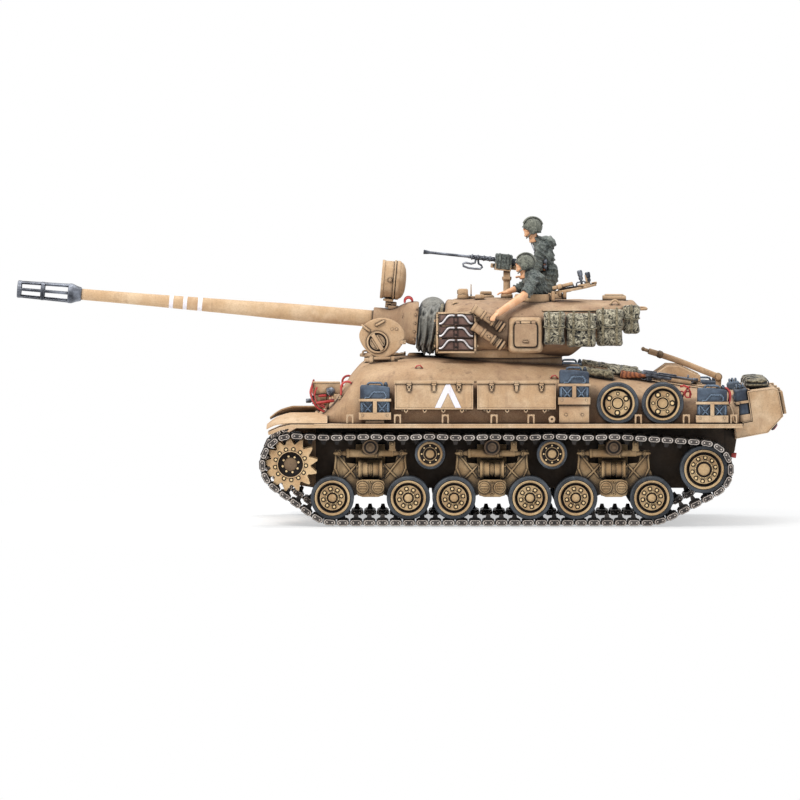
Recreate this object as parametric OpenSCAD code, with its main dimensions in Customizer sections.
// Radio-controlled model tank at one sixteenth of full size, with a cast hull and a long gun.
// Millimetres, +Z up, ground at z = 0. The nose points to -X and the left side is -Y.
// Lengths along X are counted from the turret's axis, and place() moves them into the part's frame.

/* [Widths] */
// Width over the side walls of the lower tub
tub_w = 110; // [104:1:112]
// Distance from a tub wall to the middle of its track
track_room = 20.25; // [20:0.05:21]
// Reach of a fender beyond the sponson of the upper hull
fender_reach = 11.5; // [11.2:0.1:13]

/* [Hull] */
// Height of the belly plate above the ground
belly_z = 27; // [22:1:30]
// Height of the joint between the tub and the upper hull
sponson_z = 76.4; // [76:0.2:80]
// Height of the crown of the upper hull
roof_z = 124.5; // [124.5:0.1:124.8]
// Front end of the tub, counted from the turret's axis
tub_front_x = -140; // [-142:1:-138]
// Rear end of the tub, counted from the turret's axis
tub_rear_x = 168; // [166:1:172]
// Wall thickness of the tub and the nose
tub_wall = 2.2; // [1.6:0.1:3]
// Wall thickness of the cast upper hull
hull_wall = 2.5; // [2:0.1:3]
// Thickness of the fender plates
fender_t = 1; // [0.8:0.1:1.4]
// Depth of the lip along the outer edge of a fender
fender_lip = 2.6; // [1.8:0.1:3]

/* [Running gear] */
// Radius of a road wheel over its rubber tyre
wheel_r = 16.25; // [15.5:0.05:16.5]
// Thickness of the rubber tyres
tyre_t = 2.6; // [2:0.1:3.2]
// Width of one road wheel of a pair
wheel_w = 9.9; // [9:0.1:10.4]
// Gap between the two wheels of a pair, which the guide teeth run in
wheel_gap = 4; // [3.8:0.1:5]
// Distance between the two axles of a bogie
axle_gap = 57; // [55:0.5:58]
// Distance from one bogie to the next
bogie_pitch = 91.3; // [91:0.1:93]
// Place of the middle bogie, counted from the turret's axis
bogie_x = -7.4; // [-9:0.2:-6]
// Radius of a road wheel's axle
axle_r = 2.5; // [2:0.1:3]
// Running clearance of every shaft in its bore, on the radius
run_fit = 0.05; // [0.02:0.01:0.1]
// Place of the sprocket, counted from the turret's axis
sprocket_x = -158.5; // [-160:0.5:-158]
// Height of the sprocket's shaft
sprocket_z = 46.3; // [45:0.1:47]
// Number of teeth on a sprocket
sprocket_teeth = 13; // [13:1:13]
// Radius of the sprocket over its teeth
sprocket_tip_r = 20.3; // [19.5:0.1:20.6]
// Radius of the sprocket between its teeth
sprocket_root_r = 15.3; // [14.5:0.1:16]
// Thickness of a toothed ring
tooth_ring_t = 2; // [1.6:0.1:2.2]
// Place of the idler, counted from the turret's axis
idler_x = 151.5; // [150:0.5:153]
// Height of the idler's spindle
idler_z = 42.4; // [41:0.1:43]
// Radius of the idler over its tyre
idler_r = 17.9; // [17:0.1:18.2]
// Radius of the return rollers that stand between the bogies
roller_r = 11.4; // [10.5:0.1:12]
// Radius of the return rollers on top of the bogies
small_roller_r = 6; // [5.4:0.1:6.6]

/* [Track] */
// Distance from one track joint to the next
track_pitch = 9.9; // [9.7:0.05:10.1]
// Width of the track over its end connectors
track_w = 36.5; // [35:0.1:37]
// Thickness of a link's body
link_t = 3.4; // [3:0.1:3.6]
// Depth of the rubber pad under a link
pad_t = 0.95; // [0.7:0.05:1.2]
// Height and end radius of an end connector, as a diameter
connector_h = 4.3; // [3.8:0.1:4.6]
// Height of a guide tooth
guide_h = 4.2; // [3:0.1:4.2]
// Sag of the upper run between two supports
track_sag = 1; // [0.4:0.1:1.2]

/* [Turret] */
// Radius of the turret's round base
turret_r = 50; // [49:0.5:51]
// Radius of the bearing skirt that sits in the hull
ring_r = 46.8; // [44:0.1:47]
// Height of the turret's roof
turret_roof_z = 168.8; // [168:0.1:170]
// Wall thickness of the turret casting
turret_wall = 3; // [2.4:0.1:3.4]
// Radius of the two crew openings in the roof
crew_hole_r = 11; // [10.6:0.1:11.6]
// Distance of each crew opening from the middle line
crew_y = 22; // [21.5:0.1:22.5]

/* [Gun] */
// Upward angle of the gun as the model stands
gun_angle = 4.8; // [3:0.1:6]
// Distance from the trunnions to the muzzle
gun_len = 330.3; // [300:0.5:340]
// Radius of the barrel where it leaves the mantlet
barrel_root_r = 6.35; // [5.8:0.05:6.8]
// Radius of the barrel behind the muzzle brake
barrel_tip_r = 4.2; // [4:0.05:4.8]
// Length of the muzzle brake
brake_len = 48.8; // [44:0.5:52]
// Radius of the bore
bore_r = 3.2; // [2.4:0.1:3.4]

/* [Stowage] */
// Height of the side boxes without their lids
box_h = 19; // [17:0.5:20]
// Depth of the side boxes
box_d = 10.9; // [10:0.1:11]
// Wall thickness of the side boxes
box_wall = 1.2; // [1:0.1:1.6]
// Width of a fuel can
can_w = 22.4; // [20:0.1:22.6]
// Height of a fuel can without its handle
can_h = 24.5; // [22:0.5:25]
// Thickness of a fuel can
can_d = 9.8; // [9:0.1:10.4]

/* [Hidden] */
$fn = 48;
sides = ["left", "right"];
wheel_count = 6;

// Running gear
track_y = tub_w / 2 + track_room;
over_w = 2 * track_y + track_w;
hull_w = over_w - 2 * fender_reach;
seat_gap = 0.3;
glue = 0.02;
ground_z = pad_t + link_t / 2;
wheel_lift = 0.4;
axle_z = ground_z + link_t / 2 + wheel_lift + wheel_r;
pair_w = 2 * wheel_w + wheel_gap;
body_w = pair_w - 0.2;
connector_w = (track_w - body_w) / 2 - 2.9;
pin_r = 0.6;
link_gap = 0.3;
track_gap = 0.1;
bogies = [for (k = [-1:1]) bogie_x + k * bogie_pitch];
wheel_xs = [for (b = bogies) for (s = [-1, 1]) b + s * axle_gap / 2];
big_roller_xs = [(bogies[0] + bogies[1]) / 2 - 0.8, (bogies[1] + bogies[2]) / 2 - 0.6];
big_roller_z = 54;
small_roller_z = 59;

// Overall lengths, which put the part's origin in the middle of its length
trunnion_x = -38;
trunnion_z = 148.1;
brake_r = 7.4;
brake_tip_r = 6.4;
rear_plate_x = 214.2;
muzzle_reach = -trunnion_x + gun_len * cos(gun_angle) + brake_tip_r * sin(gun_angle);
turret_x = (muzzle_reach - rear_plate_x) / 2;

sand = [0.79, 0.66, 0.5];
dark_sand = [0.62, 0.5, 0.37];
gunmetal = [0.2, 0.21, 0.23];
black = [0.12, 0.12, 0.13];
cloth = [0.45, 0.46, 0.4];
olive = [0.5, 0.49, 0.38];

module place() {
    translate([turret_x, 0, 0]) children();
}

// Builds its children with +Y pointing outboard from the middle line, on the left or the right.
module outboard(side) {
    mirror([0, side == "left" ? 1 : 0, 0]) children();
}

// A cylinder along Y from y0 to y1.
module rod_y(r, y0, y1) {
    translate([0, y1, 0]) rotate([90, 0, 0]) cylinder(r = r, h = y1 - y0);
}

// A cylinder or cone along X from x0 to x1.
module rod_x(r0, x0, x1, r1 = 0) {
    translate([x0, 0, 0]) rotate([0, 90, 0]) cylinder(r1 = r0, r2 = r1 > 0 ? r1 : r0, h = x1 - x0);
}

// A plate of an outline in X and Z, from y0 to y1.
module plate_y(y0, y1) {
    translate([0, y1, 0]) rotate([90, 0, 0]) linear_extrude(y1 - y0) children();
}

// A box given by its two corners.
module box(a, b) {
    translate(a) cube(b - a);
}

// A round bar from a to b, with knuckles a little wider than the bar at its ends.
module bar(a, b, r) {
    d = b - a;
    translate(a) rotate([0, acos(d[2] / norm(d)), atan2(d[1], d[0])]) cylinder(r = r, h = norm(d));
    for (end = [a, b]) translate(end) sphere(r = r * 1.06);
}

// A closed skin through rings of points: every ring has as many points as the first.
module skin(rings) {
    m = len(rings[0]);
    n = len(rings);
    faces = concat(
        [[for (j = [0:m - 1]) j]],
        [for (i = [0:n - 2]) for (j = [0:m - 1]) let (k = (j + 1) % m)
            each [[i * m + j, (i + 1) * m + k, i * m + k],
                  [i * m + j, (i + 1) * m + j, (i + 1) * m + k]]],
        [[for (j = [m - 1:-1:0]) (n - 1) * m + j]]);
    polyhedron([for (ring = rings) each ring], faces);
}

function bulge(v, e) = sign(v) * pow(abs(v), 2 / e);

// A ring across X shaped as a rounded box: half width w, from z0 to z1, exponent e.
function ring_x(x, y, w, z0, z1, e, m) =
    [for (i = [0:m - 1]) let (a = 360 * i / m)
        [x, y + w * bulge(cos(a), e), (z0 + z1) / 2 + (z1 - z0) / 2 * bulge(sin(a), e)]];

// A ring across X shaped as an arch on a flat floor: half width w, from z0 up to z1.
function arch_x(x, w, z0, z1, e, m) =
    [for (i = [0:m - 1]) let (a = 180 * i / (m - 1))
        [x, w * bulge(cos(a), e), z0 + (z1 - z0) * bulge(sin(a), e)]];

// ---------------------------------------------------------------- hull

// The cast form of the upper hull: place along X, share of the half width, share of the height.
hull_form = [
    [-140, 0.7, 0.065], [-134, 0.8, 0.16], [-126, 0.88, 0.32], [-118, 0.93, 0.56],
    [-112, 0.957, 0.745], [-105, 0.976, 0.9], [-94, 0.994, 0.96], [-73, 1, 1],
    [-40, 1, 0.99], [14, 1, 0.955], [45, 1, 0.875], [86, 1, 0.74],
    [130, 1, 0.605], [166, 0.985, 0.485], [172, 0.97, 0.45]];
hull_e = 3.6;
hull_rise = roof_z - sponson_z;
hatch_x = -90;
hatch_y = 45;
hatch_hole_y = hatch_y - 17;
deck_front_x = 60;
deck_rear_x = 160;
deck_w = 96;

// Height of the cast hull's skin at a place along X, y away from the middle line.
function roof_at(x, y = 0) =
    let (w = hull_w / 2 * lookup(x, [for (f = hull_form) [f[0], f[1]]]),
         rise = hull_rise * lookup(x, [for (f = hull_form) [f[0], f[2]]]))
    sponson_z + rise * pow(1 - pow(abs(y) / w, hull_e), 1 / hull_e);

module hull_tub() {
    corner = 18;
    rise = 25;
    outline = [[tub_front_x, belly_z], [tub_rear_x - corner, belly_z],
        [tub_rear_x, belly_z + rise], [tub_rear_x, sponson_z], [tub_front_x, sponson_z]];
    place() color(sand) difference() {
        plate_y(-tub_w / 2, tub_w / 2) polygon(outline);
        plate_y(-tub_w / 2 + tub_wall, tub_w / 2 - tub_wall) polygon([
            [tub_front_x - 1, belly_z + tub_wall],
            [tub_rear_x - corner - tub_wall / 2, belly_z + tub_wall],
            [tub_rear_x - tub_wall, belly_z + rise + tub_wall / 2],
            [tub_rear_x - tub_wall, sponson_z + 1], [tub_front_x - 1, sponson_z + 1]]);
        // bores for the idler spindles
        for (s = sides) outboard(s) translate([idler_x, 0, idler_z])
            rod_y(spindle_r, tub_w / 2 - tub_wall - 1, tub_w / 2 + 1);
        // slot for the power switch, and sound holes under the speaker
        translate([switch_x, 0, 0]) box([-switch_slot / 2, -2.2, belly_z - 1],
            [switch_slot / 2, 2.2, belly_z + tub_wall + 1]);
        for (k = [0:5]) translate([speaker_x, 0, belly_z - 1]) rotate(60 * k)
            translate([8, 0, 0]) cylinder(r = 1.5, h = tub_wall + 2);
    }
}

switch_x = 92;
switch_slot = 12;
speaker_x = 118;
spindle_r = 3;
shaft_r = 2.5;

// The bolted cast cover over the final drives, with a bore on each side for the sprocket shafts.
module nose_cover() {
    front = -169;
    low = belly_z;
    top = sponson_z + 2.6;
    flange_x = tub_front_x - 1.6;
    outline = [[tub_front_x, low], [-152, low + 2], [-162, 37], [front, 49], [-167, 60],
        [-160, 69], [-150, 75], [flange_x, top], [tub_front_x, top], [tub_front_x, sponson_z]];
    inner = [[tub_front_x + 1, low + tub_wall], [-151, low + 4], [-160, 39], [front + 3, 49],
        [-164.5, 58.5], [-158.5, 67], [-149, 72.6], [tub_front_x + 1, 73.6]];
    place() color(sand) {
        difference() {
            union() {
                plate_y(-tub_w / 2, tub_w / 2) polygon(outline);
                for (s = sides) outboard(s) {
                    translate([sprocket_x, 0, sprocket_z])
                        rod_y(9, tub_w / 2 - 1, track_y - pair_w / 2 - 3);
                    // tow eye
                    box([-176, 40.5, 43], [-164, 43.5, 48]);
                }
            }
            plate_y(-tub_w / 2 + 3, tub_w / 2 - 3) polygon(inner);
            for (s = sides) outboard(s) translate([sprocket_x, 0, sprocket_z])
                rod_y(shaft_r + run_fit, tub_w / 2 - 4, track_y);
        }
        // bolts along the joint flange
        for (y = [-48:12:48]) translate([-145.6, y, 77]) rotate([0, -28, 0]) cylinder(r = 1, h = 1.6);
    }
}

module upper_hull() {
    m = 33;
    hole = ring_r + 2 * run_fit;
    place() color(sand) difference() {
        union() {
            skin([for (f = hull_form)
                arch_x(f[0], hull_w / 2 * f[1], sponson_z, sponson_z + hull_rise * f[2], hull_e, m)]);
            // ball of the bow gun
            translate([bow_gun[0], bow_gun[1], bow_gun[2]]) sphere(r = bow_ball_r);
        }
        // the hollow, above a floor over the sponsons
        skin([for (f = hull_form) if (f[2] > 0.3 && f[0] < 170)
            arch_x(f[0] + (f[0] < 0 ? hull_wall : 0), hull_w / 2 * f[1] - hull_wall,
                sponson_z + hull_wall, sponson_z + hull_rise * f[2] - hull_wall, hull_e, m)]);
        box([-124, -tub_w / 2 + tub_wall, sponson_z - 1],
            [tub_rear_x - tub_wall, tub_w / 2 - tub_wall, sponson_z + hull_wall + 1]);
        translate([0, 0, sponson_z + 4]) cylinder(r = hole, h = hull_rise + 20);
        for (s = sides) outboard(s) translate([hatch_x, hatch_hole_y, sponson_z + 8])
            cylinder(r = 12, h = hull_rise + 20);
        box([deck_front_x, -deck_w / 2, sponson_z + 12], [deck_rear_x, deck_w / 2, roof_z + 8]);
        // seats of the two hull hatches, and the pockets of their hinges
        for (s = sides) outboard(s) translate([hatch_x, hatch_y, hinge_z]) {
            translate([0, -17.6, -hatch_t / 2 - 0.2]) cylinder(r = 16.1, h = 20);
            box([-11.9, -14, -hatch_t / 2 - 0.2], [11.9, 2, 8]);
            box([-14.8, -12.4, -hatch_t / 2 - 0.2], [14.8, -3.6, 8]);
            box([-11.9, -3, -3.1], [11.9, 3, 8]);
        }
    }
    place() color(sand) for (s = sides) outboard(s) translate([hatch_x, hatch_y, hinge_z]) hatch_hinge();
}

// The flat engine deck: a plate that fills the opening behind the turret, with doors and louvres.
module engine_deck() {
    z0 = roof_at(deck_front_x, deck_w / 2) - 1;
    z1 = roof_at(deck_rear_x, deck_w / 2) - 1;
    t = 2.2;
    gap = 0.15;
    place() color(sand) {
        plate_y(-deck_w / 2 + gap, deck_w / 2 - gap) polygon([
            [deck_front_x + gap, z0], [deck_rear_x - gap, z1],
            [deck_rear_x - gap, z1 + t], [deck_front_x + gap, z0 + t]]);
        slope = atan2(z1 - z0, deck_rear_x - deck_front_x);
        translate([deck_front_x, 0, z0 + t]) rotate([0, -slope, 0]) {
            for (s = [-1, 1]) for (k = [0:6])
                box([18 + 5 * k, s * 22 - 16, -0.2], [20.5 + 5 * k, s * 22 + 16, 1]);
            box([62, -30, -0.2], [84, 30, 3.4]);
        }
    }
}

module fenders() {
    y0 = tub_w / 2 + 0.1;
    y1 = over_w / 2;
    top = sponson_z;
    edge = [[180, top], [-141, top], [-158.3, top], [-166.7, top - 2], [-175.4, top - 5.8]];
    under = [[-175, top - 6.9], [-166.4, top - 3.1], [-158, top - fender_t],
        [-141, top - fender_t], [180, top - fender_t]];
    lip = [[-174.8, top - 8], [-166, top - 4.4], [-158, top - fender_lip],
        [-141, top - fender_lip], [180, top - fender_lip]];
    loops = [-114, -78.3, -42.5, -6, 21.7, 102, 138, 173.5];
    place() color(sand) for (s = sides) outboard(s) {
        difference() {
            plate_y(y0, y1) polygon(concat(edge, under));
            // room for the nose between the two mudguards
            box([-180, 0, top - 10], [tub_front_x, tub_w / 2 + 0.4, top + 1]);
        }
        plate_y(y1 - 0.8, y1) polygon(concat(edge, lip));
        // guard loops and lashing eyes standing on the fender
        for (x = loops) translate([x, y1 - 1.2, top]) difference() {
            box([-2.6, -0.5, -0.1], [2.6, 0.5, 7.5]);
            box([-1.5, -1, 0], [1.5, 1, 6.4]);
        }
    }
}

// ---------------------------------------------------------------- running gear

pivot_x = 5.8;
pivot_z = 28.7;
spring_z = 41.7;
spring_r = 5.8;
spring_len = 12.2;
damper_z = 54.3;
horn_x = 23.7;
web_t = 3;
arm_boss_r = 5.5;

// One cast bracket, from the tub's side out to the middle of the wheel pairs.
module bogie_bracket() {
    y0 = tub_w / 2;
    mid = track_y;
    difference() {
        union() {
            box([-11, y0, 22], [11, y0 + 2.4, 60]);
            box([-8.4, y0, 50], [8.4, y0 + 10, 52.5]);
            box([-9.4, y0 + 1, 22.5], [9.4, mid - 4.2, 33.5]);
            box([-9.4, mid + 4.2, 22.5], [9.4, mid + 7.5, 33.5]);
            box([-6, mid - 4.3, 22.5], [6, mid + 4.3, 24.3]);
            // arm over the spring that carries the small roller
            box([-3, y0 + 1, 52.4], [3, mid - pair_w / 2 - 0.3, 57]);
            translate([0, 0, small_roller_z]) rod_y(2.4, y0 + 1, mid - pair_w / 2 - 0.3);
            box([-2.4, y0 + 1, 56], [2.4, mid - pair_w / 2 - 0.3, small_roller_z]);
        }
        for (s = [-1, 1]) translate([s * pivot_x, 0, pivot_z])
            rod_y(2 + run_fit, mid - 7.5, mid + 8);
        translate([0, 0, small_roller_z]) rod_y(roller_pin_r + glue, y0 + 2, mid);
    }
    // pivot caps with their slotted bars, and the two plate bolts
    for (s = [-1, 1]) translate([s * pivot_x, 0, pivot_z]) {
        rod_y(2, mid - 7, mid + 7.5);
        rod_y(4.3, mid + 7.5, mid + 8.8);
        box([-3.2, mid + 8.7, -0.6], [3.2, mid + 9.5, 0.6]);
    }
    for (s = [-1, 1]) translate([s * 7.6, 0, 24.4]) rod_y(0.9, mid + 7.4, mid + 8.4);
}

roller_pin_r = 1.2;

module bogie_brackets() {
    place() color(sand) for (s = sides) outboard(s) {
        for (b = bogies) translate([b, 0, 0]) bogie_bracket();
        for (x = big_roller_xs) translate([x, 0, big_roller_z]) difference() {
            union() {
                rod_y(4, tub_w / 2, track_y - pair_w / 2 - 0.8);
                box([-7, tub_w / 2, -6], [7, tub_w / 2 + 1.8, 6]);
            }
            rod_y(roller_pin_r + glue, tub_w / 2 + 2, track_y);
        }
        // crank that carries the idler
        translate([idler_x, 0, idler_z]) {
            rod_y(spindle_r - glue, tub_w / 2 - tub_wall, track_y - pair_w / 2 - 0.6);
            rod_y(6, tub_w / 2, tub_w / 2 + 5);
            rod_y(axle_r, track_y - pair_w / 2 - 0.7, track_y + pair_w / 2 - 1.2);
        }
    }
}

// One arm of a bogie, built for the rear wheel: pivot, wheel boss, spring seat and damper horn.
module suspension_arm() {
    half = axle_gap / 2;
    reach = arm_boss_r - 0.4;
    difference() {
        union() {
            plate_y(-web_t / 2, web_t / 2) polygon([
                [pivot_x - 2.6, pivot_z - 3], [half - 2, axle_z - 4.4], [half + 3, axle_z - 3.4],
                [half + reach, axle_z + 2], [horn_x + 3.4, 43], [horn_x + 3, damper_z + 2.4],
                [horn_x - 2.6, damper_z + 2.4], [horn_x - 5, 47], [spring_len / 2 + 3, 46],
                [spring_len / 2 + 3, 37.5], [pivot_x - 2, pivot_z + 4]]);
            translate([half, 0, axle_z]) rod_y(arm_boss_r, -4.2, 4.2);
            translate([pivot_x, 0, pivot_z]) rod_y(3.7, -4.1, 4.1);
            // spring seat
            translate([0, 0, spring_z]) rod_x(6.6, spring_len / 2 + 0.4, spring_len / 2 + 2.4);
            translate([horn_x, 0, damper_z]) rod_y(2.6, -1.6, 1.6);
        }
        translate([half, 0, axle_z]) rod_y(axle_r + run_fit, -5, 5);
        translate([pivot_x, 0, pivot_z]) rod_y(2 + run_fit, -5, 5);
        // neighbouring arm's hub
        translate([-pivot_x, 0, pivot_z]) rod_y(3.9, -5, 5);
    }
    translate([horn_x, 0, damper_z]) rod_y(1.1, 1.5, 5.6);
}

module suspension_arms() {
    place() color(dark_sand) for (s = sides) outboard(s) for (b = bogies)
        for (m = [0, 1]) translate([b, track_y, 0]) mirror([m, 0, 0]) suspension_arm();
}

// Coil pack between the two seats, and the damper between the two horns.
module springs_and_dampers() {
    tube_y = 3.3;
    place() color(dark_sand) for (s = sides) outboard(s) for (b = bogies)
        translate([b, track_y, 0]) {
            translate([0, 0, spring_z]) for (m = [0, 1]) mirror([m, 0, 0]) {
                rod_x(spring_r - 0.9, 0.2, 2.2);
                rod_x(spring_r, 2.2, spring_len / 2 + 0.3);
            }
            translate([0, tube_y, damper_z]) {
                difference() {
                    union() {
                        rod_x(1.1, -horn_x + 1.6, -17.4, 2.4);
                        rod_x(3.05, -17.4, 4.8);
                        for (m = [0, 1]) mirror([m, 0, 0]) translate([horn_x, 0, 0])
                            rod_y(2.3, -1.4, 1.4);
                        rod_x(2.5, 4.7, 17);
                        rod_x(2.2, 16.9, horn_x - 1.6, 1.1);
                    }
                    for (m = [0, 1]) mirror([m, 0, 0]) translate([horn_x, 0, 0])
                        rod_y(1.1 + run_fit, -3, 3);
                }
            }
        }
}

// One pair of discs with rubber tyres on a common hub: outer radius r, width w each.
module roller_pair(r, rubber, hub, w, gap, bore) {
    half = gap / 2;
    difference() {
        union() {
            for (m = [0, 1]) mirror([0, m, 0]) {
                rod_y(r - rubber, half, half + w);
            }
            rod_y(hub, -half - 1, half + 1);
        }
        rod_y(bore, -half - w - 1, half + w + 1);
    }
    for (m = [0, 1]) mirror([0, m, 0]) difference() {
        rod_y(r, half, half + w);
        rod_y(r - rubber + glue, half - 1, half + w + 1);
    }
}

module return_rollers() {
    place() color(dark_sand) for (s = sides) outboard(s) {
        for (x = big_roller_xs) translate([x, track_y, big_roller_z]) {
            roller_pair(roller_r, 1.6, 4, wheel_w - 1, wheel_gap, roller_pin_r + run_fit);
            rod_y(roller_pin_r, -pair_w / 2 - 6, pair_w / 2);
            rod_y(2.6, pair_w / 2 - 0.1, pair_w / 2 + 0.8);
        }
        for (x = bogies) translate([x, track_y, small_roller_z]) {
            for (m = [0, 1]) mirror([0, m, 0]) difference() {
                rod_y(small_roller_r, pair_w / 2 - 5.2, pair_w / 2 - 0.3);
                rod_y(roller_pin_r + run_fit, 0, pair_w);
            }
            rod_y(roller_pin_r, -pair_w / 2 - 6, pair_w / 2 + 0.2);
        }
    }
}

module road_wheel(x, side) {
    rim = wheel_r - tyre_t;
    dish = 3.4;
    disc = 2.4;
    half = wheel_gap / 2;
    place() outboard(side) translate([x, track_y, axle_z]) {
        color(dark_sand) {
            difference() {
                union() {
                    for (m = [0, 1]) mirror([0, m, 0]) {
                        rod_y(rim, half, half + wheel_w);
                        }
                }
                for (m = [0, 1]) mirror([0, m, 0]) {
                    rod_y(rim - 1.6, half + wheel_w - dish, half + wheel_w + 1);
                    rod_y(rim - 1.6, half - 1, half + wheel_w - dish - disc);
                }
            }
            rod_y(axle_r, -pair_w / 2 + dish, pair_w / 2 - dish);
            for (m = [0, 1]) mirror([0, m, 0]) {
                rod_y(4.4, half + 2.6, half + wheel_w - dish - disc + 0.1);
                rod_y(5, half + wheel_w - dish - 0.1, half + wheel_w - 1.6);
                rod_y(3.2, half + wheel_w - 1.7, half + wheel_w - 0.4);
                for (k = [0:7]) rotate([0, 45 * k + 22, 0]) translate([8, 0, 0])
                    rod_y(0.8, half + wheel_w - dish - 0.1, half + wheel_w - dish + 0.7);
            }
        }
        color(black) for (m = [0, 1]) mirror([0, m, 0]) difference() {
            rod_y(wheel_r, half, half + wheel_w);
            rod_y(rim + glue, half - 1, half + wheel_w + 1);
        }
    }
}

module idler(side) {
    rim = idler_r - 2;
    half = wheel_gap / 2;
    place() outboard(side) translate([idler_x, track_y, idler_z]) {
        color(dark_sand) difference() {
            union() {
                for (m = [0, 1]) mirror([0, m, 0]) {
                    difference() {
                        rod_y(rim, half, half + wheel_w);
                        rod_y(rim - 2.4, half + wheel_w - 3, half + wheel_w + 1);
                        rod_y(rim - 2.4, half - 1, half + wheel_w - 5.4);
                    }
                    for (k = [0:9]) rotate([0, 36 * k, 0]) translate([9.6, 0, 0])
                        rod_y(0.9, half + wheel_w - 3.1, half + wheel_w - 2);
                }
                rod_y(5, -pair_w / 2 + 3, pair_w / 2 - 1);
            }
            rod_y(axle_r + run_fit, -pair_w / 2 - 1, pair_w / 2 - 0.6);
        }
        color(dark_sand) rod_y(4.6, pair_w / 2 - 1, pair_w / 2 + 0.4);
        color(black) for (m = [0, 1]) mirror([0, m, 0]) difference() {
            rod_y(idler_r, half, half + wheel_w);
            rod_y(rim + glue, half - 1, half + wheel_w + 1);
        }
    }
}

// A sprocket: two toothed rings on a drum, and the shaft that reaches into the gearbox.
module sprocket(side) {
    step = 360 / sprocket_teeth;
    ring_y = pair_w / 2 + 0.4;
    tooth = [[sprocket_root_r, -0.36], [sprocket_root_r + 2.6, -0.3], [sprocket_tip_r - 0.6, -0.17],
        [sprocket_tip_r, -0.08], [sprocket_tip_r, 0.08], [sprocket_tip_r - 0.6, 0.17],
        [sprocket_root_r + 2.6, 0.3], [sprocket_root_r, 0.36]];
    outline = [for (k = [0:sprocket_teeth - 1]) for (p = tooth)
        let (a = step * (k + p[1])) p[0] * [cos(a), sin(a)]];
    place() outboard(side) translate([sprocket_x, track_y, sprocket_z]) color(sand) {
        difference() {
            union() {
                for (m = [0, 1]) mirror([0, m, 0]) plate_y(ring_y, ring_y + tooth_ring_t)
                    polygon(outline);
                rod_y(12, -ring_y - 0.1, ring_y + 0.1);
                for (k = [0:sprocket_teeth - 1]) rotate([0, step * (k + 0.5), 0])
                    translate([11.8, 0, 0]) rod_y(1, ring_y + 0.7, ring_y + tooth_ring_t + 0.8);
            }
            rod_y(9.3, ring_y - 2, ring_y + tooth_ring_t + 1);
        }
        for (k = [0:7]) rotate([0, 45 * k, 0]) translate([6.1, 0, 0])
            rod_y(0.9, ring_y - 2.1, ring_y - 1);
        rod_y(shaft_r, -track_y + tub_w / 2 - 15, -ring_y + 1);
    }
}

// ---------------------------------------------------------------- track

function arc(c, r, a0, a1, n) =
    [for (i = [0:n]) let (a = a0 + (a1 - a0) * i / n) c + r * [cos(a), sin(a)]];

// Direction of the normal of the line that touches two circles on the side the track runs.
function touch(c0, r0, c1, r1) = let (d = c1 - c0) atan2(d[1], d[0]) + acos((r0 - r1) / norm(d));

// Radius at which joints lie when straight links wrap round a wheel of radius r.
function wrap_r(r) = norm([r + track_gap + link_t / 2, track_pitch / 2]);

// A sagging stretch from a to b, without its last point.
function sagging(a, b, n) =
    [for (i = [0:n - 1]) let (t = i / n) a + t * (b - a) - [0, track_sag * sin(180 * t)]];

end_relief = 1.3;
support_gap = 0.5;
sprocket_wrap = norm([sprocket_tip_r + track_gap + pin_r, track_pitch / 2]);
end_wrap = wrap_r(wheel_r);
end_centre_z = ground_z + end_wrap;
first_c = [wheel_xs[0] - end_relief, end_centre_z];
last_c = [wheel_xs[wheel_count - 1] + end_relief, end_centre_z];
sprocket_c = [sprocket_x, sprocket_z];
idler_c = [idler_x, idler_z];
idler_wrap = wrap_r(idler_r);
top_z = support_gap + link_t / 2;
supports = [
    [bogies[0], small_roller_z + small_roller_r + top_z],
    [big_roller_xs[0], big_roller_z + roller_r + top_z],
    [bogies[1], small_roller_z + small_roller_r + top_z],
    [big_roller_xs[1], big_roller_z + roller_r + top_z],
    [bogies[2], small_roller_z + small_roller_r + top_z]];
leave_idler = touch(idler_c, idler_wrap, last_c, end_wrap);
leave_first = touch(first_c, end_wrap, sprocket_c, sprocket_wrap);
idler_in = touch(supports[4], 0.01, idler_c, idler_wrap);
sprocket_top = sprocket_c + [0, sprocket_wrap];
run_points = concat([sprocket_top], supports);
loop_points = concat(
    [for (i = [0:len(run_points) - 2]) each sagging(run_points[i], run_points[i + 1], 8)],
    [supports[4]],
    arc(idler_c, idler_wrap, idler_in, leave_idler, 24),
    arc(last_c, end_wrap, leave_idler, -90, 6),
    arc(first_c, end_wrap, -90, leave_first - 360, 6),
    arc(sprocket_c, sprocket_wrap, leave_first - 360, -270 + 0.5, 24));
loop_count = len(loop_points);
stations = [for (i = 0, s = 0; i <= loop_count;
    s = s + norm(loop_points[(i + 1) % loop_count] - loop_points[i % loop_count]), i = i + 1) s];
loop_len = stations[loop_count];
link_count = floor(loop_len / track_pitch);
along_x = [for (i = [0:loop_count]) [stations[i], loop_points[i % loop_count][0]]];
along_z = [for (i = [0:loop_count]) [stations[i], loop_points[i % loop_count][1]]];
function on_track(k) = let (s = (k % link_count) * loop_len / link_count)
    [lookup(s, along_x), lookup(s, along_z)];

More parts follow.
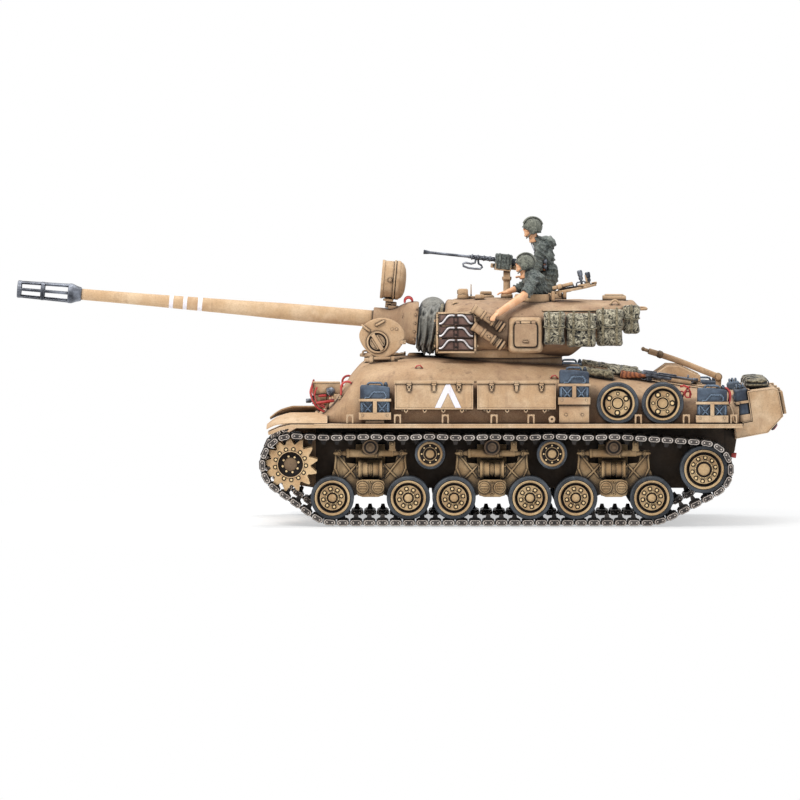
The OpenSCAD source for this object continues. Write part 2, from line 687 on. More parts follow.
// One link, flat, with the ground below it: body, pins, end connectors, pad and guide tooth.
module track_link() {
    body_l = track_pitch - link_gap;
    inside_l = track_pitch - 1.1;
    pin_x = connector_h / 2;
    inner = body_w / 2;
    outer = track_w / 2;
    // the wheel side is shorter, so that links can close up around a wheel
    box([-body_l / 2, -inner, -link_t / 2], [body_l / 2, inner, 0]);
    box([-inside_l / 2, -inner, -0.1], [inside_l / 2, inner, link_t / 2]);
    box([-body_l / 2 + 1.8, -inner + 2, -link_t / 2 - pad_t], [body_l / 2 - 1.8, inner - 2, 0]);
    for (m = [0, 1]) mirror([0, m, 0]) {
        box([-pin_x, inner - 0.1, -pin_r], [pin_x, outer - connector_w + 0.1, pin_r]);
        for (s = [-1, 1]) translate([s * pin_x, 0, 0])
            rod_y(connector_h / 2, outer - connector_w, outer);
        box([-pin_x, outer - connector_w, -connector_h / 2], [pin_x, outer, connector_h / 2]);
    }
    plate_y(-1.3, 1.3) polygon([[-2.4, link_t / 2 - 0.1], [2.4, link_t / 2 - 0.1],
        [1.2, link_t / 2 + guide_h], [-1.2, link_t / 2 + guide_h]]);
}

module track(side) {
    place() outboard(side) color(black) translate([0, track_y, 0])
        for (k = [0:link_count - 1]) {
            a = on_track(k);
            b = on_track(k + 1);
            mid = (a + b) / 2;
            turn = atan2(b[1] - a[1], b[0] - a[0]);
            translate([mid[0], 0, mid[1]]) rotate([0, -turn + 180, 0]) track_link();
        }
}

// ---------------------------------------------------------------- stowage on the hull

lid_t = 1.8;
lid_gap = 0.2;
lid_pin_r = 0.6;
knuckle_r = 1.1;
knuckle_w = 3;
// Each side box: front end and rear end.
side_boxes = [[-80.1, -21.9], [-18.4, 40]];
box_z = 88;
box_y = hull_w / 2 + seat_gap;
hinge_y = box_y + knuckle_r;
lid_z = box_z + box_h + lid_gap;
lid_axis_z = lid_z + lid_t / 2;

// Places of the hinge knuckles along one box.
function knuckles(b) = [b[0] + 7, b[1] - 7 - knuckle_w];

module side_box_pair(side) {
    place() color(sand) outboard(side) for (b = side_boxes) {
        difference() {
            box([b[0], box_y, box_z], [b[1], box_y + box_d, box_z + box_h]);
            box([b[0] + box_wall, box_y + box_wall, box_z + box_wall],
                [b[1] - box_wall, box_y + box_d - box_wall, box_z + box_h + 1]);
        }
        for (x = knuckles(b)) difference() {
            union() {
                translate([0, hinge_y, lid_axis_z]) rod_x(knuckle_r, x, x + knuckle_w);
                box([x, box_y, box_z + box_h - 2], [x + knuckle_w, hinge_y, lid_axis_z]);
            }
            translate([0, hinge_y, lid_axis_z]) rod_x(lid_pin_r + run_fit, x - 1, x + knuckle_w + 1);
        }
        // hooks under the floor
        for (x = [b[0] + 8:(b[1] - b[0] - 16) / 3:b[1] - 7])
            box([x - 0.8, box_y + box_d - 2.6, box_z - 3], [x + 0.8, box_y + box_d - 1.6, box_z + 0.1]);
    }
}

// Both lids of one side turn about one pin along their inner edges.
module box_lid_pair(side) {
    latch = 6;
    place() color(sand) outboard(side) {
        for (b = side_boxes) difference() {
            union() {
                box([b[0] - 0.5, hinge_y, lid_z], [b[1] + 0.5, box_y + box_d + 0.5, lid_z + lid_t]);
                translate([0, hinge_y, lid_axis_z]) rod_x(lid_t / 2, b[0] - 0.5, b[1] + 0.5);
                for (t = [0.18, 0.5, 0.82]) translate([b[0] + t * (b[1] - b[0]), 0, 0])
                    box([-1.3, box_y + box_d + 0.4, lid_z - latch],
                        [1.3, box_y + box_d + 1.2, lid_z + lid_t]);
            }
            for (x = knuckles(b)) box([x - 0.2, box_y - 1, lid_z - 1],
                [x + knuckle_w + 0.2, hinge_y + knuckle_r + 0.2, lid_z + lid_t + 1]);
        }
        translate([0, hinge_y, lid_axis_z]) rod_x(lid_pin_r, side_boxes[0][0], side_boxes[1][1]);
    }
}

// A pressed fuel can: underside at z = 0, its back against y = 0.
module can() {
    box([-can_w / 2, 0, 0], [can_w / 2, can_d, can_h - 3]);
    plate_y(0.6, can_d - 0.6) polygon([[-can_w / 2, can_h - 3.1], [can_w / 2, can_h - 3.1],
        [can_w / 2 - 4, can_h], [-can_w / 2 + 1, can_h]]);
    for (y = [0.28, 0.5, 0.72]) box([-4.6, y * can_d - 0.5, can_h - 0.5],
        [4.6, y * can_d + 0.5, can_h + 1.6]);
    translate([can_w / 2 - 3.4, can_d / 2, can_h - 3]) cylinder(r = 1.6, h = 3.4);
}

// Tray and straps of a can rack.
module can_rack() {
    lip = 4.5;
    difference() {
        box([-can_w / 2 - 0.9, -0.2, -1.2], [can_w / 2 + 0.9, can_d + 0.9, lip]);
        box([-can_w / 2 - 0.1, -1, -0.1], [can_w / 2 + 0.1, can_d + 0.1, lip + 1]);
    }
}

// Each can on the hull side: place along X and height of its underside.
can_places = [[-95.2, 81.4], [54, 92.8], [157.4, 79.2]];
// The can that leans on the rear box, edge outwards: lower rear corner and lean.
tail_can = [187.3, 79.8];
tail_lean = 8;
tail_y = 61.8;
function tail_point(x, z) = [tail_can[0] + x * cos(tail_lean) - z * sin(tail_lean),
    tail_can[1] + x * sin(tail_lean) + z * cos(tail_lean)];

module fuel_cans() {
    for (s = sides) place() outboard(s) {
        for (c = can_places) translate([c[0], box_y + 0.3, c[1]]) {
            color([0.16, 0.19, 0.26]) can();
            color(sand) can_rack();
            color(sand) box([-7, 0, sponson_z - c[1]], [7, 1.6, -1.1]);
        }
        translate([tail_can[0], tail_y, tail_can[1]]) rotate([0, -tail_lean, 0]) rotate([0, 0, 90]) {
            color([0.16, 0.19, 0.26]) can();
            color(sand) can_rack();
        }
    }
}

spare_xs = [86.6, 120.4];
spare_r = 15.7;
spare_z = sponson_z + spare_r + 0.1;

module spare_wheels() {
    r = spare_r;
    depth = 9;
    place() for (s = sides) outboard(s) for (x = spare_xs) translate([x, box_y, spare_z]) {
        color(dark_sand) {
            difference() {
                rod_y(r - tyre_t, 0, depth);
                rod_y(r - tyre_t - 1.6, depth - 3, depth + 1);
            }
            rod_y(5, depth - 3.1, depth - 1.4);
            for (k = [0:7]) rotate([0, 45 * k, 0]) translate([8, 0, 0])
                rod_y(0.8, depth - 3.1, depth - 2.2);
        }
        color(black) difference() {
            rod_y(r, 0, depth);
            rod_y(r - tyre_t + glue, -1, depth + 1);
        }
    }
}

// The slanted stowage box on the tail, with its outer plate and the folded sheet on top.
module rear_box() {
    w = 74;
    place() {
        color(dark_sand) {
            plate_y(-w, w) polygon([[175.5, 64.8], [174.9, 74.9], [180.6, 74.9],
                tail_point(-7.1, -1.5), tail_point(0.5, -1.5), tail_point(0.5, 21),
                [203.7, 103], [207.5, 101.9], [211.4, 81.9], [199.9, 69.4]]);
            // brackets that hang the box on the hull's tail
            for (s = [-1, 1]) box([tub_rear_x, s * 30 - 4, 66], [182, s * 30 + 4, 72]);
            box([209.2, -w + 10, 83], [rear_plate_x, w - 10, 100.5]);
        }
        color(black) for (s = [-1, 1]) translate([199, s * (w - 12), 73]) rod_x(3.4, 0, 9);
    }
}

function roll_ring(x, y, z, r, flat) = ring_x(x, y, r, z - r * flat, z + r * flat, 2.2, 14);

// A soft roll that lies along X on the cast hull, tied in the middle.
module soft_roll(x0, x1, y, r) {
    inner_y = abs(y) - r / 2;
    z0 = roof_at(x0, inner_y) + r * 0.8 + seat_gap;
    z1 = roof_at(x1, inner_y) + r * 0.8 + seat_gap;
    skin([for (t = [0, 0.04, 0.25, 0.48, 0.52, 0.75, 0.96, 1])
        let (k = t == 0 || t == 1 ? 0.7 : (t == 0.48 || t == 0.52 ? 0.88 : 1))
        roll_ring(x0 + t * (x1 - x0), y, z0 + t * (z1 - z0), r * k, 0.8)]);
}

module deck_bundles() {
    place() color(cloth) {
        soft_roll(64, 112, -60, 6);
        soft_roll(64, 106, 60, 6);
        skin([for (t = [0, 0.08, 0.5, 0.92, 1]) ring_x(184.5 + 17 * t, 0,
            t == 0 || t == 1 ? 50 : 56, 103.2, t == 0 || t == 1 ? 109.5 : 112.4, 3, 20)]);
    }
}

// The long rifle strapped to the deck: barrel, receiver and wooden stock.
module stowed_rifle() {
    y = -deck_w / 2 - 2.5;
    x0 = 90;
    tilt = atan2(roof_at(x0, y) - roof_at(x0 + 40, y), 40);
    place() translate([x0, y, roof_at(x0, y - 2) + 4.6 + seat_gap]) rotate([0, tilt, 0]) {
        color([0.35, 0.2, 0.12]) skin([
            ring_x(0, 0, 1.6, -4.6, 1.2, 3, 12), ring_x(12, 0, 1.7, -3.4, 1.2, 3, 12),
            ring_x(16, 0, 1.3, -1.4, 1.2, 3, 12), ring_x(27, 0, 1.4, -1.4, 1.2, 3, 12)]);
        color(gunmetal) {
            box([18, -1.1, 1.2], [40, 1.1, 3.2]);
            translate([0, 0, 2]) rod_x(0.8, 39, 58);
        }
    }
}

// The gun crutch, a beam on a clevis at the tail, raised as it stands.
lock_x = 165.5;
lock_z = 109;
lock_pin_r = 1.2;

module travel_lock() {
    len = 60.3;
    rise = 21.9;
    place() color(dark_sand) translate([lock_x, 0, lock_z]) rotate([0, rise, 0]) {
        box([-len + 5, -2.4, -2.4], [-2, 2.4, 2.4]);
        difference() {
            union() {
                rod_y(2.8, -7.8, 7.8);
                box([-8, -7.8, -2], [0, 7.8, 2]);
            }
            rod_y(lock_pin_r + run_fit, -9, 9);
            box([-3.2, -3.2, -4], [4, 3.2, 4]);
        }
        difference() {
            translate([-len + 3, 0, 3]) rod_x(7.6, -3, 3);
            translate([-len + 3, 0, 3]) rod_x(5.2, -4, 4);
            box([-len - 2, -9, 5.5], [-len + 8, 9, 12]);
        }
    }
}

// Lamp guards, lifting rings, bow gun and tow eyes on the nose, and the crutch's clevis behind.
module front_fittings() {
    red = [0.62, 0.25, 0.16];
    post_x = -144.5;
    eye_r = 4.4;
    ring_at = [-116, 62];
    // lowest height at which the lifting ring clears the curved nose
    ring_rest = 0.1 + max([for (d = [-eye_r:0.4:eye_r])
        roof_at(ring_at[0] + d, ring_at[1] - 1) + sqrt(eye_r * eye_r - min(d * d, eye_r * eye_r))]);
    place() {
        for (s = sides) outboard(s) {
            color(red) {
                for (y = [43, 55]) {
                    bar([post_x, y, 79.6], [post_x, y, 104], 0.8);
                    bar([post_x, y, 104], [-127, y, 105.5], 0.8);
                    bar([-127, y, 105.5], [-121, y, roof_at(-121, y) + 2], 0.8);
                }
                bar([post_x, 43, 96], [post_x, 55, 96], 0.8);
                translate([ring_at[0], ring_at[1], ring_rest]) difference() {
                    rod_y(eye_r, -1, 1);
                    rod_y(eye_r - 1.8, -2, 2);
                }
            }
            // lamp housing on its post, lower and shorter on the right
            high = s == "left";
            color(sand) {
                box([-142, 45.4, high ? 97.8 : 91], [high ? -123 : -129, 52.6, high ? 106.8 : 99.5]);
                translate([high ? -131 : -135, 0, 0])
                    box([0, 47.6, roof_at(high ? -128 : -132, 47) + 0.1], [3, 50.4, high ? 97.9 : 91.1]);
            }
        }
        color(gunmetal) translate(bow_gun) rod_x(1.2, -26, -bow_ball_r - 0.1);
        // clevis of the gun crutch
        color(dark_sand) translate([lock_x, 0, lock_z]) {
            rod_y(lock_pin_r, -7.6, 7.6);
            box([-1.4, -2.9, roof_at(lock_x - 2) - lock_z + 0.05], [1.8, 2.9, 1.3]);
        }
    }
}

// ---------------------------------------------------------------- inside the hull

module gearmotors() {
    // outer face of a gearbox, clear of the nose cover's wall
    y1 = tub_w / 2 - 3 - 1.6;
    place() {
        for (s = sides) outboard(s) {
            color(gunmetal) difference() {
                union() {
                    box([-160, y1 - 17.4, 36], [-128, y1, 62]);
                    box([-160, y1 - 14.4, belly_z + tub_wall + 2], [-134, y1 - 2.4, 36.1]);
                }
                translate([sprocket_x, 0, sprocket_z]) rod_y(shaft_r + run_fit, y1 - 11.4, y1 + 1.6);
                box([-162, y1 - 18.4, 24], [-150, y1 + 1.6, 40]);
            }
            color([0.7, 0.7, 0.72]) translate([-128, y1 - 8.9, 46]) rod_x(8.4, 0, 30);
        }
        // the turret's motor stands on the belly, with its pinion box beside the bearing skirt
        color(gunmetal) box([66, -9, belly_z + tub_wall], [84, 9, 60]);
        color([0.7, 0.7, 0.72]) translate([75, 0, 60]) cylinder(r = 8, h = 28);
        color(gunmetal) box([52, -9, 88], [84, 9, 104]);
    }
}

module battery_pack() {
    place() color([0.2, 0.3, 0.55]) for (k = [0:5])
        translate([-70 + 15.2 * k, 0, belly_z + tub_wall + 7.4]) rod_y(7.3, -30, 30);
}

module control_board() {
    z = belly_z + tub_wall;
    place() {
        color([0.1, 0.35, 0.2]) box([24, -28, z + 4], [64, 28, z + 5.6]);
        color(black) for (p = [[34, -14], [52, 10]]) translate([p[0], p[1], z + 5.6])
            box([-6, -6, 0], [6, 6, 2]);
        color(sand) for (x = [27, 61], y = [-25, 25]) translate([x, y, z])
            cylinder(r = 2, h = 4);
        color(black) translate([speaker_x, 0, z]) cylinder(r = 18, h = 9);
    }
}

module power_switch() {
    place() translate([switch_x, 0, 0]) {
        color(black) {
            box([-4, -2, belly_z - 1.2], [0, 2, belly_z + tub_wall + 0.2]);
            box([-7, -4.2, belly_z + tub_wall + 0.1], [3, 4.2, belly_z + tub_wall + 1.4]);
        }
    }
}

// ---------------------------------------------------------------- hatches of the hull

hatch_t = 2.4;
hatch_pin_r = 1;
hinge_z = roof_z;
bow_gun = [-121, 26, 93];
bow_ball_r = 6;

// A teardrop hatch in its closed place about its hinge along X at the origin: it spreads to +Y.
module hull_hatch() {
    difference() {
        union() {
            translate([0, 17.6, -hatch_t / 2]) cylinder(r = 15.8, h = hatch_t);
            box([-11.5, -2.6, -hatch_t / 2], [11.5, 12, hatch_t / 2]);
            box([-14.4, 4, -hatch_t / 2], [14.4, 12, hatch_t / 2]);
            rod_x(2, -11.5, 11.5);
        }
        rod_x(hatch_pin_r + run_fit, -20, 20);
        for (s = [-1, 1]) translate([s * 8, 0, 0]) box([-1.7, -3, -3], [1.7, 2.4, 3]);
    }
    translate([-3, 16, hatch_t / 2 - 0.1]) cylinder(r = 7.9, h = 2.2);
    translate([-3, 16, hatch_t / 2 + 2]) rotate(-60) box([-6, -1.3, 0], [6, 1.3, 2.2]);
    for (p = [[-9.5, 27.4], [8.6, 28.4]]) translate([p[0], p[1], hatch_t / 2 - 0.1])
        cylinder(r = 1.6, h = 1.6);
}

// Ears on the roof and the pin that a hull hatch turns on.
module hatch_hinge() {
    for (s = [-1, 1]) translate([s * 8, 0, 0]) box([-1.4, -1.5, -6], [1.4, 1.5, 1.6]);
    rod_x(hatch_pin_r, -11, 11);
}

module driver_hatch() {
    place() outboard("left") translate([hatch_x, hatch_y, hinge_z]) color(sand)
        rotate([-90, 0, 0]) mirror([0, 1, 0]) hull_hatch();
}

module codriver_hatch() {
    place() outboard("right") translate([hatch_x, hatch_y, hinge_z]) color(sand)
        mirror([0, 1, 0]) hull_hatch();
}

// ---------------------------------------------------------------- turret

turret_base_z = 124.9;
turret_e = 2.9;
// The cast form of the turret: place along X, half width, underside and crown below the roof.
turret_form = [
    [-50, 31, 127, -36], [-46, 40, 125.6, -19], [-42, 45, 125.2, -4], [-36, 49, 125, -1.2],
    [-20, 56, 124.9, -0.2], [0, 60, 124.9, 0], [20, 60, 124.9, -0.4], [40, 56, 124.9, -1],
    [52, 51.5, 125.2, -1.2], [64, 47, 134, -1.4], [80, 42, 143.2, -1.6], [95, 38, 151.8, -1.8],
    [102, 35, 156, -3.3], [104, 31, 158, -6]];
// Half width of the casting at a place along X and a height.
function turret_w(x, z) =
    let (w = lookup(x, [for (f = turret_form) [f[0], f[1]]]),
         z0 = lookup(x, [for (f = turret_form) [f[0], f[2]]]),
         z1 = turret_roof_z + lookup(x, [for (f = turret_form) [f[0], f[3]]]),
         t = min(0.999, abs(z - (z0 + z1) / 2) / ((z1 - z0) / 2)))
    w * pow(1 - pow(t, turret_e), 1 / turret_e);

cupola_x = 32;
loader_x = 24;
cupola_r = 15.5;
crew_top_z = turret_roof_z + 3.4;
ledge_z = turret_roof_z - 4.6;
floor_z = 128.4;
face_slot = 30;
port_x = 18.1;
port_z = 142.4;
port_y = 61.6;
port_hinge = 9.4;
roof_pin_r = 0.7;
pedestal_pin_r = 1.5;

module turret_shell() {
    m = 36;
    roof = turret_roof_z;
    place() {
        color(sand) difference() {
            union() {
                skin([for (f = turret_form) ring_x(f[0], 0, f[1], f[2], roof + f[3], turret_e, m)]);
                translate([0, 0, turret_base_z]) cylinder(r = turret_r, h = 9);
                translate([0, 0, turret_base_z - 11]) cylinder(r = ring_r, h = 12);
                translate([cupola_x, crew_y, roof - 8]) cylinder(r = cupola_r, h = 11.4);
                translate([loader_x, -crew_y, roof - 8]) cylinder(r = crew_hole_r + 2.4, h = 11.4);
                // ventilator, periscope heads and the bracket on the tail
                box([77.5, -10, roof - 4], [95.1, 10, roof + 2.9]);
                translate([-28.7, -14, roof - 3]) cylinder(r = 3.6, h = 9);
                box([-32.6, -17, roof + 3.6], [-24.9, -11, roof + 7.4]);
                box([-15.4, 18, roof - 3], [-6.4, 25, roof + 4.6]);
                translate([-22.5, -6, roof - 2]) cylinder(r = 0.8, h = 12.6);
                // raised rim of the side port, and the middle knuckle of its hinge
                translate([port_x, 0, port_z]) plate_port(-port_y, -40);
                translate([port_x, -port_y - 1.1, port_z + port_hinge]) {
                    rod_x(1.1, -3.4, 3.4);
                    box([-3.4, 0, -1.1], [3.4, 2, 1.1]);
                }
                // lugs of the two roof hatches, and the boss under the gun pedestal
                for (h = [cmd_hinge, loader_hinge]) translate(h) for (s = [-1, 1])
                    box([-1.3, s * 7.2 - 0.8, -8], [1.3, s * 7.2 + 0.8, 1.3]);
                translate([mg_x, 0, roof - 4]) cylinder(r = 5, h = 4.2);
            }
            difference() {
                skin([for (f = turret_form) if (f[0] > -46 && f[0] < 100)
                    ring_x(f[0], 0, f[1] - turret_wall, max(f[2] + 1.6, floor_z),
                        roof + f[3] - turret_wall, turret_e, m)]);
                // room stays solid under the crew openings, for the ledges
                for (c = [[cupola_x, crew_y], [loader_x, -crew_y]])
                    translate([c[0], c[1], ledge_z - 2.4]) cylinder(r = crew_hole_r + 2, h = 12);
            }
            translate([0, 0, turret_base_z - 12]) cylinder(r = ring_r - 4, h = 12.6);
            translate([0, 0, turret_base_z - 2]) cylinder(r = 18, h = 12);
            for (c = [[cupola_x, crew_y], [loader_x, -crew_y]]) translate([c[0], c[1], 0]) {
                translate([0, 0, ledge_z]) cylinder(r = crew_hole_r, h = 30);
                translate([0, 0, ledge_z - 4]) cylinder(r = crew_hole_r - 2.6, h = 30);
            }
            // opening for the gun, and the hole for the pedestal's pin
            box([-60, -face_slot / 2, 133], [-34, face_slot / 2, 163]);
            translate([mg_x, 0, roof - 6]) cylinder(r = pedestal_pin_r + run_fit, h = 9);
            // the port's hole
            translate([port_x, 0, port_z]) box([-7, -64, -7], [7, -40, 7]);
        }
        // hinge pins of the port and the roof hatches
        color(sand) {
            translate([port_x, -port_y - 1.1, port_z + port_hinge]) rod_x(0.5, -7.4, 7.4);
            for (h = [cmd_hinge, loader_hinge]) translate(h) rod_y(roof_pin_r, -7.2, 7.2);
        }
        // tail rail
        color(sand) difference() {
            box([102, -26, 160], [111.6, 26, 161.6]);
            box([98, -24, 159], [110, 24, 163]);
        }
        // trunnion blocks inside the face, on the floor
        color(dark_sand) for (s = [-1, 1]) difference() {
            box([trunnion_x - 5, s * 12 - 2.4, floor_z], [trunnion_x + 5, s * 12 + 2.4, trunnion_z + 4]);
            translate([trunnion_x, 0, trunnion_z]) rod_y(2.5 + run_fit, -20, 20);
        }
    }
}

// The outline of the side port's rim, from y0 to y1.
module plate_port(y0, y1) {
    plate_y(y0, y1) {
        square([20, 24.6], center = true);
        square([24.2, 20], center = true);
        for (a = [-1, 1], b = [-1, 1]) translate([a * 10, b * 10]) circle(r = 2.2);
    }
}

// A plate hung by two knuckles from the pin over the side port.
module port_door() {
    place() color(sand) translate([port_x, -port_y - 1.1, port_z]) {
        difference() {
            union() {
                box([-8.4, -0.9, -8.6], [8.4, 0.9, port_hinge]);
                for (s = [-1, 1]) translate([0, 0, port_hinge])
                    rod_x(1.1, s * 5.9 - 1.5, s * 5.9 + 1.5);
            }
            translate([0, 0, port_hinge]) rod_x(0.5 + run_fit, -9, 9);
            box([-3.6, -2, port_hinge - 1.5], [3.6, 2, port_hinge + 2]);
            for (s = [-1, 1]) box([s * 8 - 0.55, -2, port_hinge - 1.4], [s * 8 + 0.55, 2, port_hinge + 2]);
        }
        box([-2, -1.8, -5], [2, -0.8, -3.6]);
    }
}

// ---------------------------------------------------------------- gun

// Puts children built along -X from the trunnions at the gun's resting angle.
module on_gun() {
    place() translate([trunnion_x, 0, trunnion_z]) rotate([0, gun_angle, 0]) children();
}

collar_x = -58.2;
brake_x = -gun_len + brake_len;

module mantlet() {
    w = 36;
    nose_w = 13.5;
    on_gun() color(sand) {
        difference() {
            union() {
                plate_y(-w, w) polygon([[-34.6, 9], [-33.9, 13.2], [-31.4, 14.8], [-25.5, 15.3],
                    [-25.5, -17], [-28, -16.4], [-33, -12], [-34.6, -9]]);
                // bulge around the gun, narrow enough to pass between the open hull hatches
                plate_y(-nose_w, nose_w)
                    polygon([[-41.2, 9], [-37, 12.6], [-33, 14.1], [-33, -11.6], [-41.2, -8.6]]);
                rod_x(8.2, collar_x, -41, 9.4);
                rod_x(8.2, -26, -9);
                rod_y(2.5, -14.8, 14.8);
                rod_x(7, -10, 12);
                for (y = [-30:10:30]) translate([-27.5, y, 15]) cylinder(r = 0.9, h = 1);
                // foot of the searchlight
                box([-45, -4, 7], [-39, 4, 13.1]);
            }
            rod_x(barrel_root_r + run_fit, collar_x - 1, -14);
        }
    }
}

module gun_barrel() {
    r_mid = 5.9;
    on_gun() color(sand) difference() {
        union() {
            rod_x(barrel_root_r, -60, -14.2);
            rod_x(r_mid, -144, -60, barrel_root_r);
            rod_x(4.75, -219, -144, r_mid);
            rod_x(barrel_tip_r, brake_x + 6, -219, 4.75);
            rod_x(barrel_tip_r, brake_x, brake_x + 6.1);
        }
        rod_x(bore_r, brake_x - 1, brake_x + 60);
    }
}

module muzzle_brake() {
    front = -gun_len;
    wall = 3.4;
    bay = (brake_len - 7 - 3 * wall) / 2;
    on_gun() color(gunmetal) difference() {
        union() {
            rod_x(brake_tip_r, front, front + brake_len - 7, brake_r);
            rod_x(brake_r, front + brake_len - 7.1, front + brake_len, barrel_tip_r + 0.6);
        }
        rod_x(4.3, front - 1, front + brake_len - 7 - wall);
        rod_x(bore_r, front - 1, front + brake_len - 0.1);
        for (k = [0, 1], m = [-1, 1]) {
            x = front + wall + k * (bay + wall);
            box([x, -9, m * 3.1 - 1.9], [x + bay, 9, m * 3.1 + 1.9]);
        }
    }
}

// The dust cover between mantlet and turret: a soft collar with a domed top.
module mantlet_cover() {
    x0 = -61.7;
    // share of the depth, half width, underside and top of each ring
    form = [[0, 33, 129.8, 163], [0.25, 37.5, 127.8, 168], [0.6, 39, 127.2, 171.6], [1, 38, 127.6, 170]];
    hole_r = 9;
    place() color(cloth) difference() {
        skin([for (f = form) [for (p = ring_x(0, 0, f[1], f[2], f[3], 3.4, 40))
            [x0 + f[0] * (-50.5 + 0.235 * (p[2] - 132.8) - x0), p[1], p[2]]]]);
        translate([trunnion_x, 0, trunnion_z]) rotate([0, gun_angle, 0]) rod_x(hole_r, -40, 10);
    }
}

module searchlight() {
    r = 14.7;
    on_gun() translate([-48.2, 0, 30.9]) rotate([0, -gun_angle, 0]) {
        color(sand) difference() {
            union() {
                rod_x(r, -7, 6);
                rod_x(r, 6, 10, 10.5);
                rod_x(10.5, 9.9, 12.4, 6);
                box([1, -4, -17], [7, 4, -13]);
                for (s = [-1, 1]) translate([2, 0, 0]) rod_y(2.4, s * 15.4 - 1.2, s * 15.4 + 1.2);
            }
            rod_x(r - 1.4, -8, -4);
        }
        color([0.8, 0.85, 0.9]) rod_x(r - 1.5, -5.6, -4.1);
    }
}

// ---------------------------------------------------------------- roof of the turret

cmd_hinge = [cupola_x + cupola_r + 1.6, crew_y, crew_top_z + 0.9];
loader_hinge = [loader_x + crew_hole_r + 4.4, -crew_y, crew_top_z + 0.9];

// A round hatch that lies open to the rear of its hinge, tilted up by angle.
module open_hatch(r, angle) {
    rotate([0, -angle, 0]) {
        translate([r + 2, 0, -1]) cylinder(r = r, h = 2);
        difference() {
            union() {
                rod_y(1.3, -6, 6);
                box([0, -6, -0.9], [6, 6, 0.9]);
            }
            rod_y(roof_pin_r + run_fit, -7, 7);
        }
        translate([r + 2, 0, 0.9]) cylinder(r = r * 0.55, h = 1.4);
        box([r - 1, -1, 2], [r + 5, 1, 4]);
    }
}

module commander_hatch() {
    place() color(sand) translate(cmd_hinge) open_hatch(11.4, 12);
}

module loader_hatch() {
    place() color(sand) translate(loader_hinge) open_hatch(10.6, 10);
}

mg_x = 4.7;
mg_foot_z = turret_roof_z + 0.3;
mg_axis_z = 192;

module gun_pedestal() {
    place() color(dark_sand) translate([mg_x, 0, 0]) {
        translate([0, 0, mg_foot_z - 3]) cylinder(r = pedestal_pin_r, h = 5);
        translate([0, 0, mg_foot_z]) cylinder(r = 4.4, h = 2.8);
        translate([0, 0, mg_foot_z + 2.7]) cylinder(r = 2.6, h = 14);
        difference() {
            union() {
                for (s = [-1, 1]) box([-2.6, s * 3.6 - 0.7, 183], [2.6, s * 3.6 + 0.7, mg_axis_z + 2.4]);
                box([-2.6, -4.3, 183], [2.6, 4.3, 185]);
            }
            translate([0, 0, mg_axis_z]) rod_y(1.2 + run_fit, -6, 6);
        }
    }
}

// The heavy machine gun with its cradle, jacket, barrel, grips and ammunition box.
module machine_gun() {
    tilt = 6;
    place() translate([mg_x, 0, mg_axis_z]) {
        color(dark_sand) {
            rod_y(1.2, -5, 5);
            rotate([0, tilt, 0]) box([-12, -2.2, -1.4], [7, 2.2, 2.2]);
        }
        rotate([0, tilt, 0]) {
            color(gunmetal) {
                box([-9.4, -2, 2.1], [13, 2, 7.6]);
                translate([0, 0, 5.2]) {
                    rod_x(1.7, -27, -9);
                    rod_x(1.05, -62, -26.6);
                    rod_x(1.5, -64, -60);
                }
                for (y = [-1.8, 1.8]) translate([0, y, 5.2]) rod_x(0.7, 12.9, 17);
                box([-9, -0.5, 7.4], [-8, 0.5, 9]);
            }
            color([0.75, 0.73, 0.6]) box([-9, 4.8, -2], [3, 10, 9]);
            color(gunmetal) box([-8, 1.8, 3], [-4.4, 4.9, 6]);
        }
    }
}

// The frame with three spare links, and the two smoke canisters beside it.
module track_rack() {
    place() {
        y = -turret_w(-20, 145) - seat_gap;
        color(dark_sand) {
            box([-49, y - 3.2, 128.8], [-19.3, y - 0.6, 130.6]);
            for (x = [-49, -20.9]) box([x, y - 3.2, 128.8], [x + 1.6, y - 0.6, 159.5]);
            for (z = [133, 152]) box([-49, y - 0.7, z], [-19.3, y, z + 2.4]);
            // stays that reach back to the casting
            for (z = [139, 146]) box([-45, y - 0.4, z], [-42, -turret_w(-42, z + 2) - seat_gap, z + 2]);
            box([-45, y - 0.7, 139], [-42, y, 155]);
        }
        color(black) for (k = [0:2]) {
            z = 131 + 9.4 * k;
            box([-47.2, y - 4.6, z], [-21.1, y - 0.8, z + 8.8]);
            for (x = [-43, -25.4]) translate([x, 0, z + 4.4]) rod_y(1.4, y - 5.6, y - 4.5);
        }
        can_y = y - 7;
        for (d = [0, -13.4]) let (z = 154.9 + d) translate([-9.7, can_y, z]) {
            rotate([0, 34.6, 0]) {
                color(sand) rod_x(2.75, -13, 13);
                color(dark_sand) rod_x(3, 8, 13);
            }
            wall = max(turret_w(-7.7, z - 2), turret_w(-7.7, z + 1));
            color(sand) box([-2, 1, -2], [2, -can_y - wall - seat_gap, 1]);
        }
    }
}

// Packs hung along the rear of the turret: front end, rear end, underside and top.
packs = [[31.2, 46.7, 134.9, 159.6], [47.6, 69.2, 133.6, 159.2],
    [70, 89.6, 135.6, 162.4], [90.4, 103.6, 144.2, 165]];

module turret_packs() {
    depth = 7.4;
    place() color(olive) for (s = sides) outboard(s) for (p = packs) {
        mid = (p[2] + p[3]) / 2;
        half = (p[3] - p[2]) / 2;
        y = turret_w(p[0], mid) + seat_gap + depth / 2;
        skin([for (t = [0, 0.12, 0.5, 0.88, 1]) let (k = t == 0 || t == 1 ? 0.8 : 1)
            ring_x(p[0] + t * (p[1] - p[0]), y, depth / 2 * k, mid - half * (k + 0.12 * (1 - k)),
                mid + half * (0.4 + 0.6 * k), 3, 20)]);
    }
}

// ---------------------------------------------------------------- crew

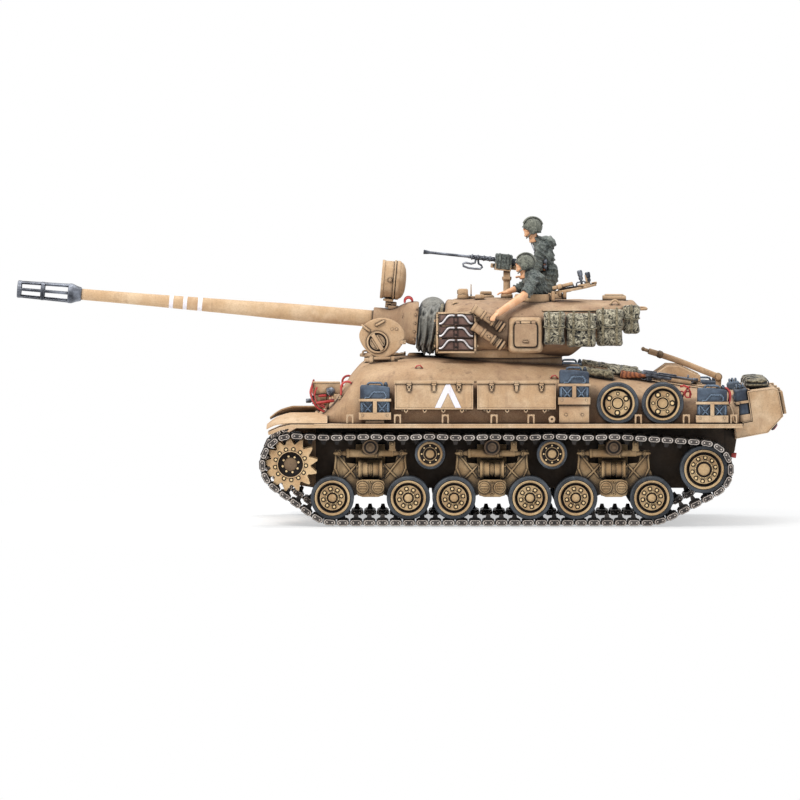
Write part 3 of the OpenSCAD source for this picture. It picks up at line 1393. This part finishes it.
// A half figure standing on the turret's floor: torso, arms, head and padded helmet.
module figure(hip_z, shoulder_z, head, lean, arms) {
    base = ledge_z + 0.4;
    translate([0, 0, floor_z + 1.3]) cylinder(r = 4, h = base - floor_z);
    translate([0, 0, base]) cylinder(r = crew_hole_r - 0.5, h = 2);
    skin([ring_z(0, 0, base + 1.5, 7.4, 8.6), ring_z(0, 0, hip_z, 8.2, 9.4),
        ring_z(lean / 2, 0, (hip_z + shoulder_z) / 2, 8.4, 10.4),
        ring_z(lean, 0, shoulder_z - 1.5, 6.6, 11), ring_z(lean, 0, shoulder_z + 2.4, 3.4, 5)]);
    for (a = arms) {
        bar(a[0], a[1], 3.2);
        bar(a[1], a[2], 2.6);
    }
    translate([lean, 0, shoulder_z + 1]) cylinder(r = 2.6, h = head[2] - shoulder_z - 2);
    translate(head) sphere(r = 5.9);
    translate(head + [0.8, 0, 1.4]) sphere(r = 6.9);
}

function ring_z(x, y, z, a, b) =
    [for (i = [0:19]) let (t = 360 * i / 20) [x + a * bulge(cos(t), 2.4), y + b * bulge(sin(t), 2.4), z]];

module commander_figure() {
    place() color(cloth) translate([cupola_x, crew_y, 0])
        figure(184, 208, [-7, 0, 222.8], -1, [
            [[-1, -9, 206], [-4, -14, 194], [-14, -10, 182]],
            [[-1, 9, 206], [-4, 14, 194], [-14, 10, 182]]]);
}

module loader_figure() {
    place() color(cloth) translate([loader_x, -crew_y, 0])
        figure(175, 187.5, [-6.6, 0, 198], -2, [
            [[-2, -9, 185.5], [-7, -27, 177.6], [-28, -40.6, 161]],
            [[-2, 8, 186], [-10, 9, 178.6], [-19, 5, 176.4]]]);
}

module elevation_gearmotor() {
    place() {
        color(gunmetal) box([-30, -30, floor_z + 1.8], [-6, -14, floor_z + 19.4]);
        color([0.7, 0.7, 0.72]) translate([-6, -22, floor_z + 10.4]) rod_x(6, 0, 18);
    }
}

hull_tub();
nose_cover();
upper_hull();
engine_deck();
fenders();
bogie_brackets();
suspension_arms();
springs_and_dampers();
return_rollers();
side_box_pair("left");  // side_boxes_left
side_box_pair("right");  // side_boxes_right
box_lid_pair("left");  // box_lids_left
box_lid_pair("right");  // box_lids_right
fuel_cans();
spare_wheels();
rear_box();
deck_bundles();
stowed_rifle();
front_fittings();
gearmotors();
battery_pack();
control_board();
power_switch();
driver_hatch();
codriver_hatch();
travel_lock();
turret_shell();
mantlet();
gun_barrel();
muzzle_brake();
mantlet_cover();
searchlight();
commander_hatch();
loader_hatch();
gun_pedestal();
machine_gun();
track_rack();
turret_packs();
commander_figure();
loader_figure();
port_door();
elevation_gearmotor();
for (s = sides) {
    track(s);
    sprocket(s);
    idler(s);
    for (k = [1:wheel_count])
        road_wheel(wheel_xs[k - 1], s);
}
